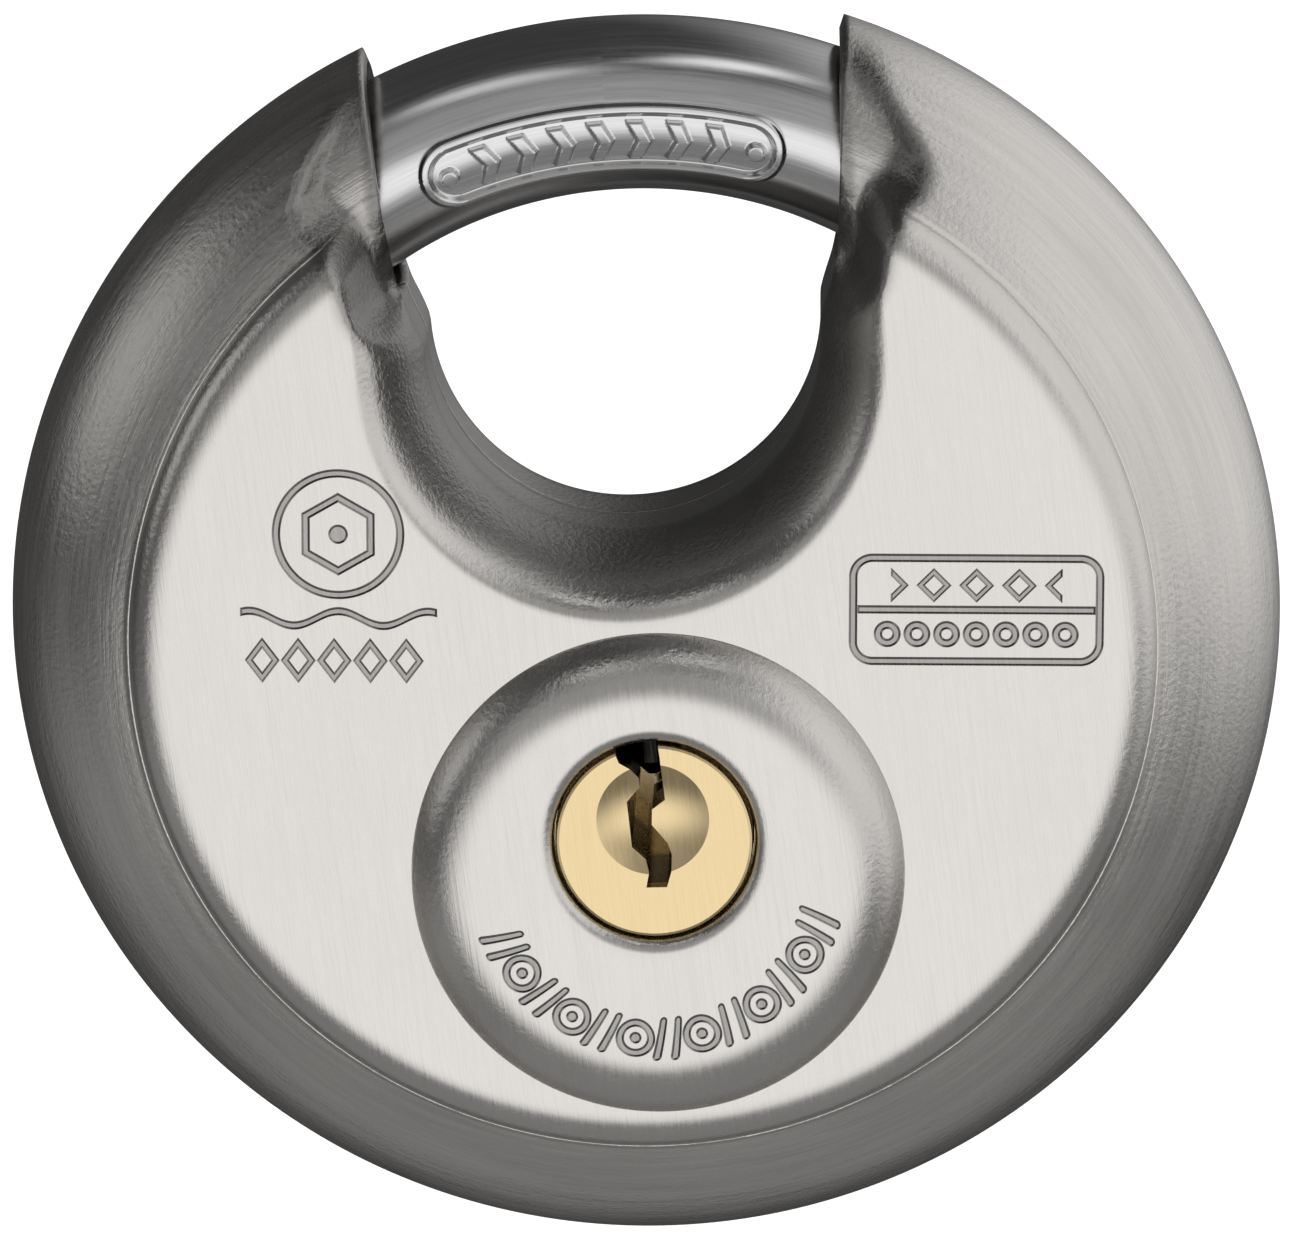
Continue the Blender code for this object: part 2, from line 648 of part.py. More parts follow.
def front_core():
    block = core_half("front_core", -1)
    gap = CORE_GAP
    cut(block, rod("barrel_seat", BARREL_R + gap, (0, -20 * MM, PLUG_Z), (0, 5 * MM, PLUG_Z), 40))
    wide = TOWER_HALF_WIDTH + gap
    slot = [(-wide, PLUG_Z), (wide, PLUG_Z), (wide, COVER_TOP + gap), (-wide, COVER_TOP + gap)]
    return finish(cut(block, outline_solid("tower_seat", slot, -20 * MM, 5 * MM)), ZINC_STEEL)


def rear_core():
    block = core_half("rear_core", 1)
    sweep_r = PINION_PITCH_R + ADDENDUM + 0.4 * MM
    floor, tail_floor, tail_r = DRIVE_BACK + 0.4 * MM, TANG_BACK + 3.2 * MM, 4.0 * MM
    pocket = [(0, -5 * MM), (sweep_r, -5 * MM), (sweep_r, floor), (tail_r, floor), (tail_r, tail_floor)]
    pocket.append((0, tail_floor))
    return finish(cut(block, turned("drive_pocket", pocket, z=PLUG_Z, steps=48)), ZINC_STEEL)


def core_rivets():
    head = CORE_DEPTH - 0.05 * MM
    for number, (x, z) in enumerate(RIVETS, 1):
        neck = head - RIVET_HEAD
        half = [(RIVET_HEAD_R - 0.3 * MM, -head), (RIVET_HEAD_R, -head + 0.3 * MM), (RIVET_HEAD_R, -neck)]
        half += [(RIVET_R, -neck)]
        profile = [(0, -head), *half, *[(r, -y) for r, y in reversed(half)], (0, head)]
        finish(turned(f"core_rivet_{number}", profile, x * MM, z * MM, 16), ZINC_STEEL)


def stop_block():
    """A short slug of bar fixed in the channel: the toe meets it when locked and the heel when open."""
    first, last, steps = 313.4, 317.6, 3
    curve = bpy.data.curves.new("stop_block", "CURVE")
    curve.dimensions = "3D"
    curve.bevel_depth = BAR_R + 0.05 * MM
    curve.bevel_resolution = 4
    curve.use_fill_caps = True
    spline = curve.splines.new("POLY")
    spline.points.add(steps)
    for i, point in enumerate(spline.points):
        x, z = on_ring(BOW_R, first + (last - first) * i / steps)
        point.co = (x, 0, z, 1)
    finish(place(bpy.data.objects.new("stop_block", curve)), HARDENED)


front_shell()
rear_shell()
shackle()
front_core()
rear_core()
core_rivets()
stop_block()
cylinder_body()
chamber_cover()
drill_guard_ring()
plug()
driver_sector()
tail_fasteners()
pins_and_springs()
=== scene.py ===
# %% [markdown]
# # A disc padlock
# A disc padlock is two drawn stainless shells welded round the rim, with a curved bar turning inside them.
# The frame gives every working part at its place. This lesson replaces the parts that show with fine surfaces
# and then gives each metal its own finish. Millimetres are easier to think in, so lengths are times MM.

import json
import math

import bmesh
import bpy
import numpy as np
from mathutils import Matrix, Vector

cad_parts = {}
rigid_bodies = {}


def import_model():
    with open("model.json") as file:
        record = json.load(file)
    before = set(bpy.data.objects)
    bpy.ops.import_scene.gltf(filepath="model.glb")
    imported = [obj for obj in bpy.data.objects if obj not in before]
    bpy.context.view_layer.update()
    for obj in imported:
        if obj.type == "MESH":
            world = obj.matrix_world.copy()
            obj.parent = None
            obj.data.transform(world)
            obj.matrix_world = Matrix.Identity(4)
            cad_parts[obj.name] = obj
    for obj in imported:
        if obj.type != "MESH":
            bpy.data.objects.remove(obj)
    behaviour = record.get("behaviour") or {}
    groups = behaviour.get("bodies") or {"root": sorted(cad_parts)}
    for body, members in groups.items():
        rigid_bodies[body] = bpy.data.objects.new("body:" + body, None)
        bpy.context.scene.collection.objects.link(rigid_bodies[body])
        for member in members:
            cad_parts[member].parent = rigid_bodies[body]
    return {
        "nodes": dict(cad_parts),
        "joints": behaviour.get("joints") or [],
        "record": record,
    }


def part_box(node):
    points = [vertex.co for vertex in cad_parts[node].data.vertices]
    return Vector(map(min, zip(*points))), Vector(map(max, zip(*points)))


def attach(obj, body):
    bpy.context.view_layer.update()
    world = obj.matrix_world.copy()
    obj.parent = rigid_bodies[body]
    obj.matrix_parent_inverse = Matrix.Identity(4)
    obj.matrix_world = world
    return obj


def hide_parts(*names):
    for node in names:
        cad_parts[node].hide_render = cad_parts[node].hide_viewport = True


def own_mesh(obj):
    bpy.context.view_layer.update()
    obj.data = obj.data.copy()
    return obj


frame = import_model()
nodes = frame["nodes"]
MM = 0.001
swing = next(j for j in frame["joints"] if j["name"] == "shackle_swing")
turn = next(j for j in frame["joints"] if j["name"] == "plug_turn")
disc_middle = Vector(swing["pos_m"])
plug_z = turn["pos_m"][2] - disc_middle.z
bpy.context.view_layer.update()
print("middle of the disc", tuple(disc_middle), "plug axis below it", plug_z)

# %% [markdown]
# ## Putting a grid into a mesh
# Every surface here is a function of two parameters worked out on a grid. A grid is an array of rows by columns
# by three. One helper turns it into faces, and can close it round either way, so that a tube has no seam.


# %% Grid helper
def grid_faces(rows, columns, close_rows=False, close_columns=False):
    """Four-sided faces between neighbouring grid points, numbered row by row."""
    i = np.arange(rows if close_rows else rows - 1)
    j = np.arange(columns if close_columns else columns - 1)
    i, j = np.meshgrid(i, j, indexing="ij")
    after_i, after_j = (i + 1) % rows, (j + 1) % columns
    corners = (i * columns + j, i * columns + after_j, after_i * columns + after_j, after_i * columns + j)
    return np.stack(corners, axis=-1).reshape(-1, 4)


def mesh_object(name, points, faces, body, smooth_angle=40, shade_and_dullness=None):
    """A smooth-shaded object from points about the disc's middle, riding on a body, with its faces turned out.

    The optional number for each point says how much painted shade, dullness and pitting its place gets.
    """
    points = np.asarray(points, dtype=float).reshape(-1, 3) + np.array(disc_middle)
    used, renumbered = np.unique(faces, return_inverse=True)
    mesh = bpy.data.meshes.new(name)
    mesh.from_pydata(points[used].tolist(), [], renumbered.reshape(faces.shape).tolist())
    mesh.validate()
    if shade_and_dullness is not None:
        mesh.attributes.new("shade_and_dullness", "FLOAT", "POINT").data.foreach_set("value", shade_and_dullness[used])
    obj = bpy.data.objects.new(name, mesh)
    bpy.context.scene.collection.objects.link(obj)
    tidy(obj, smooth_angle)
    if body:
        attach(obj, body)
    return obj


def tidy(obj, smooth_angle=40):
    """Merges doubles, turns the faces out and shades smooth up to an angle."""
    shape = bmesh.new()
    shape.from_mesh(obj.data)
    bmesh.ops.remove_doubles(shape, verts=shape.verts, dist=1e-7)
    bmesh.ops.recalc_face_normals(shape, faces=shape.faces)
    shape.to_mesh(obj.data)
    shape.free()
    obj.data.shade_smooth()
    obj.data.set_sharp_from_angle(angle=math.radians(smooth_angle))


# %% [markdown]
# ## The camera
# A small object seen through a long lens has almost no perspective. The camera stands half a metre away, a little
# above the lock and a little to its right, and the lock hangs a few degrees off upright in its view.

# %% Camera
AZIMUTH, ELEVATION, ROLL = math.radians(2), math.radians(12.5), math.radians(4.3)
DISTANCE = 0.5
away = Vector(
    (math.sin(AZIMUTH) * math.cos(ELEVATION), -math.cos(AZIMUTH) * math.cos(ELEVATION), math.sin(ELEVATION))
)
level = Vector((math.cos(AZIMUTH), math.sin(AZIMUTH), 0))
upright = away.cross(level)
right = math.cos(ROLL) * level - math.sin(ROLL) * upright
up = math.sin(ROLL) * level + math.cos(ROLL) * upright
aim = disc_middle - 0.46 * MM * up + 0.1 * MM * right
camera_data = bpy.data.cameras.new("camera")
camera_data.sensor_width = 36
camera_data.lens = 36 * DISTANCE / (71.55 * MM)
camera = bpy.data.objects.new("camera", camera_data)
camera.matrix_world = Matrix.Translation(aim + DISTANCE * away) @ Matrix((right, up, away)).transposed().to_4x4()
bpy.context.scene.collection.objects.link(camera)
bpy.context.scene.camera = camera
print("lens", round(camera_data.lens), "mm")

# %% [markdown]
# ## The shells' shape
# Each shell is drawn from one flat sheet. From the rim it bulges up to a crease, climbs a short step to the flat
# face, and rolls down into the U-shaped notch. Next to the two ears it is squeezed round the bar like a sleeve.
# The plan of the sheet is a C, so the grid is one too: columns run round the C from the left ear to the right
# ear, and rows run across it, from the rim to the notch.

# %% The shell's profiles
RIM_R, CREASE_R, FACE_R = 35.0, 27.9, 25.6
CREASE_DEPTH, FACE_DEPTH = 9.5, 11.4
NOTCH_Z, NOTCH_R, NOTCH_FLARE_R, NOTCH_WALL = 16.4, 10.8, 14.4, 4.4
BAR_R, BOW_R = 4.75, 28.5
EAR_R = 6.5
SHEET, SEAM_GAP = 0.8, 0.02


def cubic(a, b, c, d, t):
    """Points of a Bezier curve: each corner weighted by its own cubic of t."""
    t = np.asarray(t)[:, None]
    a, b, c, d = (np.array(p, dtype=float) for p in (a, b, c, d))
    return (1 - t) ** 3 * a + 3 * t * (1 - t) ** 2 * b + 3 * t**2 * (1 - t) * c + t**3 * d


def ease(value, low, high):
    """0 below low, 1 above high, and a smooth S between them."""
    t = np.clip((value - low) / (high - low), 0, 1)
    return t * t * (3 - 2 * t)


slope, handle = math.radians(24), 3.7
bulge_end = (CREASE_R + handle * math.cos(slope), CREASE_DEPTH - handle * math.sin(slope))
bulge = cubic((RIM_R, 0), (RIM_R, 4.3), bulge_end, (CREASE_R, CREASE_DEPTH), np.linspace(0, 1, 42) ** 1.25)
step = cubic(
    (CREASE_R, CREASE_DEPTH),
    (CREASE_R - 0.15, CREASE_DEPTH + 1.0),
    (CREASE_R - 0.75, FACE_DEPTH),
    (FACE_R, FACE_DEPTH),
    np.linspace(0, 1, 90),
)
close_in = CREASE_R + np.array([0.42, 0.34, 0.27, 0.21, 0.16, 0.11, 0.06])
outer_rows = np.append(bulge[:-1, 0][bulge[:-1, 0] > CREASE_R + 0.5], [*close_in, CREASE_R])
bulge = np.stack((outer_rows, np.interp(outer_rows, bulge[::-1, 0], bulge[::-1, 1])), axis=1)

# %% [markdown]
# The rim's columns and the notch's columns are paired by their share of the way round, and a spoke joins each pair:
# straight as far as the crease, then curved so that it arrives square to the notch's edge. The crease has to fall on
# a row of its own, or the light would break up along it, so the rows outside it are set by the bulge's own curve and
# the rows inside it by a spacing that is close at both ends.


# %% The shell's plan
def columns_share(count, near, spread):
    """Shares from 0 to 1 that take bigger or smaller steps near both ends: even steps plus near times an S-curve."""
    even = np.linspace(0, 1, count)
    pull = np.exp(-even / spread) - np.exp(-(1 - even) / spread)
    share = even + near * (1 - 2 * even - pull)
    return (share - share[0]) / (share[-1] - share[0])


half = np.radians(np.linspace(180, 270, 60))
wall_side = np.array([(-12.0, 20.2), (-11.83, 19.5), (-11.59, 18.7), (-11.28, 17.9), (-11.01, 17.2), (-10.85, 16.7)])
notch_half = np.concatenate((wall_side, np.stack((NOTCH_R * np.cos(half), NOTCH_Z + NOTCH_R * np.sin(half)), axis=1)))
notch_line = np.concatenate((notch_half, notch_half[-2::-1] * (-1, 1)))
notch_length = np.concatenate(([0], np.cumsum(np.hypot(*np.diff(notch_line, axis=0).T))))


def notch_point(length):
    """Points of the notch's edge at these lengths along it: down the wall, round the half circle and up again."""
    return np.stack([np.interp(length, notch_length, notch_line[:, k]) for k in (0, 1)], axis=1)


def rim_path(count):
    """Points on the rim from the left ear's corner anticlockwise to the right ear's, closest together at the ears."""
    angle = np.radians(-22.15 - 315.7 * columns_share(count, -0.012, 0.03))
    return np.stack((RIM_R * np.sin(angle), RIM_R * np.cos(angle)), axis=1)


EAR_INNER, EAR_OUTER = np.array((12.0, 20.2)), np.array((13.2, 32.42))
EAR_BORDER_R = (20.0, 24.0, 26.0, 27.9, 29.2, 30.4, 31.4, 32.4, 33.2, 35.0)
EAR_BORDER = (2.6, 2.6, 2.9, 3.7, 4.7, 5.0, 4.3, 3.1, 2.4, 2.2)


def distance_to_ear_end(x, z):
    """Distance in plan from a point to the straight line that ends the nearer ear."""
    line = EAR_OUTER - EAR_INNER
    dx, dz = np.abs(x) - EAR_INNER[0], z - EAR_INNER[1]
    along = np.clip((dx * line[0] + dz * line[1]) / np.sum(line**2), 0, 1)
    return np.hypot(dx - along * line[0], dz - along * line[1])


def shell_depth(x, z, outer):
    """How far the sheet stands in front of the seam. outer is the bulge's own depth, or None inside the crease.

    The fall from the flat face is the step's or the bulge's fall and the notch's fall, added as cubes so that the
    larger one wins smoothly. Near an ear the result drops into a round sleeve about the bar, at a border that lies
    2 to 5 mm from the ear's end. The second result, from 0 to 1, says how much painted shade, dullness and pitting
    the place gets: most in the notch's flare and in the hollow beside each ear.
    """
    r = np.hypot(x, z)
    wall = np.where(z < NOTCH_Z, NOTCH_R, np.interp(z, wall_side[::-1, 1], -wall_side[::-1, 0]))
    from_notch = np.where(z < NOTCH_Z, np.hypot(x, z - NOTCH_Z), np.abs(x))
    across = np.clip((NOTCH_FLARE_R - from_notch) / (NOTCH_FLARE_R - wall), 0, 1)
    notch_fall = (FACE_DEPTH - NOTCH_WALL) * (1 - (1 - across**1.6) ** (1 / 1.6))
    if outer is None:
        step_fall = FACE_DEPTH - np.interp(r, step[::-1, 0], step[::-1, 1])
    else:
        step_fall = FACE_DEPTH - outer
    lip = 0.2 * np.exp(-(((r - CREASE_R - 0.05) / 0.13) ** 2))
    full = FACE_DEPTH - np.cbrt(notch_fall**3 + step_fall**3) + lip
    sleeve = np.sqrt(np.maximum(EAR_R**2 - (r - BOW_R) ** 2, 0))
    sleeve = np.where(r < BOW_R, (sleeve**8 + NOTCH_WALL**8) ** 0.125, sleeve)
    border = np.interp(r, EAR_BORDER_R, EAR_BORDER)
    from_end = distance_to_ear_end(x, z)
    depth = sleeve + (full - sleeve) * ease(from_end, border - 2.3, border)
    climb = ease(from_end, border - 3.0, border - 1.8)
    hollow = (0.45 + 0.5 * climb) * (1 - ease(from_end, border - 0.7, border + 0.7)) * ease(r, 34.6, 33.0)
    # Painted shade: the notch's flare and the hollows beside the ears are marked to be painted darker, and also
    # duller and pitted.
    shade_and_dullness = np.maximum(hollow, 0.95 * ease(across, 0.2, 0.65))
    return depth, shade_and_dullness


# %% [markdown]
# The wall of the notch stands square to the face, so depth can't be a function of the plan there. It gets rows of
# its own that only go down to the seam, and slide a little along the edge beside the ears.


# %% Shell builder
COLUMNS = 340
ACROSS = 86
# How much painted shade, dullness and pitting the notch's wall gets.
WALL_SHADE_AND_DULLNESS = 0.7


def shell_grid():
    """The whole C as rows by columns of (x, depth, painted shade and dullness, z), from the rim over the face to the
    notch's seam.
    """
    rim = rim_path(COLUMNS)
    length = notch_length[-1] * columns_share(COLUMNS, 0.075, 0.02)
    notch = notch_point(length)
    spoke = notch - rim
    a, b = np.sum(spoke**2, axis=1), 2 * np.sum(rim * spoke, axis=1)

    def share_at(radius):
        """Where a spoke crosses a circle about the disc's middle: the smaller root of a quadratic."""
        c = RIM_R**2 - radius**2
        return (-b - np.sqrt(np.maximum(b**2 - 4 * a * c, 0))) / (2 * a)

    rows = []
    for radius, depth in bulge:
        x, z = (rim + spoke * share_at(radius)[:, None]).T
        rows.append(np.stack((x, *shell_depth(x, z, depth), z), axis=1))
    rows[0][:, 1] = SEAM_GAP
    crease = rim + spoke * share_at(CREASE_R)[:, None]
    tangent = notch_point(length + 0.4) - notch_point(length - 0.4)
    tangent = tangent / np.hypot(*tangent.T)[:, None]
    square = np.stack((tangent[:, 1], -tangent[:, 0]), axis=1)
    end = np.minimum(length, notch_length[-1] - length)
    upward = -tangent * np.sign(notch_length[-1] / 2 - length)[:, None]
    # A spoke arrives square to the notch's edge, except beside an ear, where it turns to run along the ear's end.
    turn = (np.radians(14) + np.radians(76) * (1 - np.exp(-end / 1.2)))[:, None]
    arrive = upward * np.cos(turn) + square * np.sin(turn)
    arrive[[0, -1]] = (rim - notch)[[0, -1]] / np.hypot(*(rim - notch)[0])
    control = notch + arrive * (2.2 + 1.8 * ease(end, 0, 4))[:, None]
    even = np.linspace(0, 1, ACROSS)[1:]
    close_at_ends = 0.15 * even + 0.85 * (1 - np.cos(even * np.pi)) / 2
    for t in close_at_ends:
        x, z = ((1 - t) ** 2 * crease + 2 * t * (1 - t) * control + t**2 * notch).T
        rows.append(np.stack((x, *shell_depth(x, z, None), z), axis=1))
    top = rows[-1][:, 1]
    toward_middle = np.sign(notch_length[-1] / 2 - length) * 0.9 * (1 - ease(end, 0, 5.0))
    for t in np.linspace(1, 0, 9)[1:]:
        x, z = notch_point(length + toward_middle * math.sqrt(1 - t**2)).T
        rows.append(np.stack((x, SEAM_GAP + (top - SEAM_GAP) * t, WALL_SHADE_AND_DULLNESS + 0 * z, z), axis=1))
    return np.array(rows)


def make_shell(name, side, open_middle=None):
    """One shell. side is -1 for the keyhole side. Faces inside the circle open_middle (z, radius) are left out."""
    grid = shell_grid()
    faces = grid_faces(grid.shape[0], grid.shape[1])
    points = grid[:, :, [0, 1, 3]].reshape(-1, 3) * (1, side, 1)
    if open_middle:
        z, radius = open_middle
        within = np.hypot(points[:, 0], points[:, 2] - z) < radius
        faces = faces[~within[faces].all(axis=1)]
    obj = mesh_object(name, points * MM, faces, "lock_body", 50, shade_and_dullness=grid[:, :, 2].ravel())
    toward = sum((p.normal.y * p.area for p in obj.data.polygons))
    if toward * side < 0:
        obj.data.flip_normals()
    thick = obj.modifiers.new("sheet", "SOLIDIFY")
    thick.thickness = SHEET * MM
    thick.offset = -1
    thick.use_rim = True
    print(name, len(faces), "faces before its thickness")
    return obj


BOSS_Z, BOSS_FOOT_R, BOSS_FACE_R, BOSS_DEPTH = -12.1, 13.4, 9.7, 13.6
front_shell = make_shell("front_shell_skin", -1, (BOSS_Z, 12.0))
rear_shell = make_shell("rear_shell_skin", 1)

# %% [markdown]
# ## The keyhole boss
# The boss is pressed up out of the front shell. Its foot is a sharp line, its shoulder is soft, and the keyhole
# sits above its middle, so its rings slide from one centre to another as they close in. Its profile is a closed
# loop, so the grid closes both ways and the piece is one solid.


# %% Boss
def boss_rings():
    """(radius, depth, share of the way from the boss's centre to the plug's) for each ring of the loop."""
    shoulder = cubic(
        (BOSS_FOOT_R, FACE_DEPTH),
        (BOSS_FOOT_R - 0.7, FACE_DEPTH + 1.15),
        (BOSS_FOOT_R - 1.75, BOSS_DEPTH),
        (BOSS_FACE_R, BOSS_DEPTH),
        np.linspace(0, 1, 22),
    )
    rings = [(BOSS_FOOT_R, FACE_DEPTH - 0.5, 0)] + [(r, d, 0) for r, d in shoulder]
    hole_r, roll = 5.46, 0.8
    for t in np.linspace(0, 1, 9)[1:-1]:
        rings.append((BOSS_FACE_R + (hole_r + roll - BOSS_FACE_R) * t, BOSS_DEPTH, t))
    for angle in np.radians(np.linspace(0, 90, 7)):
        rings.append((hole_r + roll - roll * math.sin(angle), BOSS_DEPTH - roll + roll * math.cos(angle), 1))
    rings += [(hole_r, BOSS_DEPTH - 1.3, 1), (hole_r + 0.4, BOSS_DEPTH - 1.35, 1)]
    rings += [(9.0, BOSS_DEPTH - 1.35, 0.2), (10.9, BOSS_DEPTH - 1.9, 0), (12.2, FACE_DEPTH - 0.5, 0)]
    return np.array(rings)


rings = boss_rings()
around = np.linspace(0, 2 * np.pi, 240, endpoint=False)
centre_z = BOSS_Z + (plug_z / MM - BOSS_Z) * rings[:, 2:3]
boss_grid = np.stack(
    (
        rings[:, 0:1] * np.sin(around),
        -rings[:, 1:2] + 0 * around,
        centre_z + rings[:, 0:1] * np.cos(around),
    ),
    axis=-1,
)
boss = mesh_object("keyhole_boss", boss_grid * MM, grid_faces(*boss_grid.shape[:2], True, True), "lock_body", 35)
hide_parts("front_shell")
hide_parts("front_shell")
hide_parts("rear_shell")

# %% [markdown]
# ## The shackle
# The bar is a tube carried along an arc. Its front is stamped with a long rounded panel. The stamp is a height
# worked out from distances: far outside the panel's outline it is zero, and on a mark it is a few tenths.

# %% Shackle
TOE, HEEL, END_ROUND = math.radians(-41.0), math.radians(238.0), 0.8
PANEL_MIDDLE, PANEL_HALF, PANEL_BAND = math.radians(-0.8), 8.0, 1.75
PANEL_LEAN, PANEL_R = math.radians(17), 27.2


def stamped_height(u, v):
    """Height in mm at u along the bar and v across it, both in mm from the panel's middle."""
    outline = np.hypot(np.maximum(np.abs(u) - PANEL_HALF, 0), v) - PANEL_BAND
    frame_line = 0.26 * (1 - ease(np.abs(outline), 0.14, 0.4))
    sunk = -0.12 * (1 - ease(outline, -0.35, -0.1))
    pitch = 2.1
    cell = u - pitch * np.round(u / pitch)
    bent = np.abs(cell + 0.5 * np.abs(v) - 0.3)
    chevron = (1 - ease(bent, 0.3, 0.5)) * (1 - ease(np.abs(v), 1.0, 1.2)) * (1 - ease(np.abs(u), 7.3, 7.5))
    dot = 1 - ease(np.hypot(np.abs(u) - 8.5, v), 0.4, 0.62)
    return frame_line + sunk + 0.34 * np.maximum(chevron, dot)


def shackle_grid():
    """Rings of the bar. The ends are rounded by shrinking the last rings as they run out to a flat cap."""
    visible = np.radians(np.linspace(-24, 24, 320))
    before = np.linspace(TOE, visible[0], 14)[:-1]
    after = np.linspace(visible[-1], HEEL, 90)[1:]
    angle = np.concatenate((before, visible, after))
    size = np.ones_like(angle)
    edge = np.radians(np.linspace(0, 90, 6))[1:]
    back_from_end = END_ROUND * (1 - np.sin(edge)) / BOW_R
    rounded = 1 - END_ROUND * (1 - np.cos(edge)) / BAR_R
    keep = (angle > TOE + END_ROUND / BOW_R) & (angle < HEEL - END_ROUND / BOW_R)
    flat = np.array([0.6, 0.3, 0.0])
    angle = np.concatenate(([TOE] * 3, TOE + back_from_end[::-1], angle[keep], HEEL - back_from_end, [HEEL] * 3))
    size = np.concatenate((flat[::-1], rounded[::-1], size[keep], rounded, flat))
    return angle, size


angle, size = shackle_grid()
stamped = np.linspace(-1.0, 0.4, 124)
girth = np.concatenate((stamped, np.linspace(0.4, 2 * np.pi - 1.0, 74)[1:-1]))
phi, theta = np.meshgrid(angle, girth, indexing="ij")
height = stamped_height((phi - PANEL_MIDDLE) * PANEL_R, (theta + PANEL_LEAN) * BAR_R)
height = np.where(np.abs(phi) < math.radians(23), height, 0)
tube_r = BAR_R * size[:, None] + height * (np.abs(theta - np.pi) > 1.6)
bow = BOW_R + tube_r * np.sin(theta)
bar_grid = np.stack((bow * np.sin(phi), -tube_r * np.cos(theta), bow * np.cos(phi)), axis=-1)
bar = mesh_object("shackle_bar", bar_grid * MM, grid_faces(*bar_grid.shape[:2], False, True), "shackle", 60)

# %% [markdown]
# Inside the lock the bar has a row of notches that the plug's toothed sector drives. They are cut with a comb: the
# flank of an involute tooth leans by the angle whose cosine is the base circle over the radius.


# %% Notches in the shackle
def flank_half_angle(radius, pitch_r, teeth, allowance):
    """Half the angle a tooth fills at a radius, from its thickness at the pitch circle and the involute's lean."""
    pressure = math.radians(20)
    lean = np.arccos(np.minimum(1, pitch_r * math.cos(pressure) / radius))
    return math.pi / (2 * teeth) + allowance / pitch_r + (math.tan(pressure) - pressure) - (np.tan(lean) - lean)


def comb_outline():
    """The comb's outline in plan: eleven teeth 9 degrees apart, and a strip that joins them inside the bar."""
    module = -2 * plug_z / MM / 16
    radii = np.linspace(BOW_R - BAR_R - 0.5, module * 20 + 1.1 * module, 8)
    half = flank_half_angle(radii, module * 20, 40, 0.06)
    middles = np.radians(180 - 9.0 * np.arange(-1, 10))
    angles = middles[:, None] + np.concatenate((half, -half[::-1]))
    reach = np.broadcast_to(np.concatenate((radii, radii[::-1])), angles.shape)
    back = np.radians(np.linspace(94.5, 193.5, 20))
    angles = np.concatenate((angles.ravel(), back))
    reach = np.concatenate((reach.ravel(), np.full(20, BOW_R - BAR_R - 2.5)))
    return np.stack((reach * np.sin(angles), reach * np.cos(angles)), axis=1)


def prism(name, outline, front, back):
    """A flat outline of (x, z), made thick along Y and closed with one face at each end."""
    count = len(outline)
    low = np.insert(outline, 1, front, axis=1)
    high = np.insert(outline, 1, back, axis=1)
    i = np.arange(count)
    sides = np.stack((i, (i + 1) % count, (i + 1) % count + count, i + count), axis=1).tolist()
    mesh = bpy.data.meshes.new(name)
    points = np.concatenate((low, high)) * MM + np.array(disc_middle)
    mesh.from_pydata(points.tolist(), [], [*sides, list(range(count)), list(range(count, 2 * count))])
    obj = bpy.data.objects.new(name, mesh)
    bpy.context.scene.collection.objects.link(obj)
    tidy(obj)
    return obj


def combine(target, tools, operation):
    """Cuts or joins each tool with the target, keeps the result as the target's mesh, and removes the tools."""
    for tool in tools:
        change = target.modifiers.new(tool.name, "BOOLEAN")
        change.operation = operation
        change.solver = "EXACT"
        change.object = tool
    graph = bpy.context.evaluated_depsgraph_get()
    made = bpy.data.meshes.new_from_object(target.evaluated_get(graph))
    target.modifiers.clear()
    target.data = made
    for tool in tools:
        bpy.data.objects.remove(tool)
    tidy(target, 35)


combine(bar, [prism("comb", comb_outline(), 0.3, 3.5)], "DIFFERENCE")
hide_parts("shackle")
print("shackle", len(bar.data.polygons), "faces")

# %% [markdown]
# ## The plug
# The plug is turned from brass bar. A shallow dish guides the key into a warded slot that is open at the top. The
# slot, the pin holes and the screw hole are cut from the turned body, as they are on the bench.


# %% Plug
def turned_solid(name, profile, z, steps=144):
    """A closed solid: a profile of (radius, y) carried round an axis along Y. Both ends start on the axis."""
    profile = np.array(profile, dtype=float)
    around = np.linspace(0, 2 * np.pi, steps, endpoint=False)
    points = np.stack(
        (
            profile[:, :1] * np.sin(around),
            profile[:, 1:] + 0 * around,
            z + profile[:, :1] * np.cos(around),
        ),
        axis=-1,
    )
    return mesh_object(name, points * MM, grid_faces(len(profile), steps, False, True), None)


def pin_hole(name, y, low, high, radius):
    """An upright cylinder at a pin's place."""
    around = np.linspace(0, 2 * np.pi, 32, endpoint=False)
    r, z = np.array([[0, low], [radius, low], [radius, high], [0, high]]).T[:, :, None]
    points = np.stack((r * np.sin(around), y + r * np.cos(around), z + 0 * around), axis=-1)
    return mesh_object(name, points * MM, grid_faces(4, 32, False, True), None)


def keyway():
    """The slot's outline in plan about the plug's axis, with its wards, from the top left down and back up."""
    left = [(-1.75, 6.2), (-1.75, 4.9), (-1.6, 4.45), (-1.0, 4.05), (-0.6, 3.5), (-0.6, 2.95), (-1.35, 2.15)]
    left += [(-1.25, -0.35), (-0.55, -1.05), (-0.42, -1.75), (-0.62, -2.55)]
    right = [(0.5, -2.6), (0.8, -1.75), (0.88, -0.9), (0.7, -0.3), (-0.1, 0.75), (-0.02, 1.6), (0.72, 2.1)]
    right += [(0.62, 4.6), (0.5, 6.2)]
    return np.array(left + right) + (0, plug_z / MM)


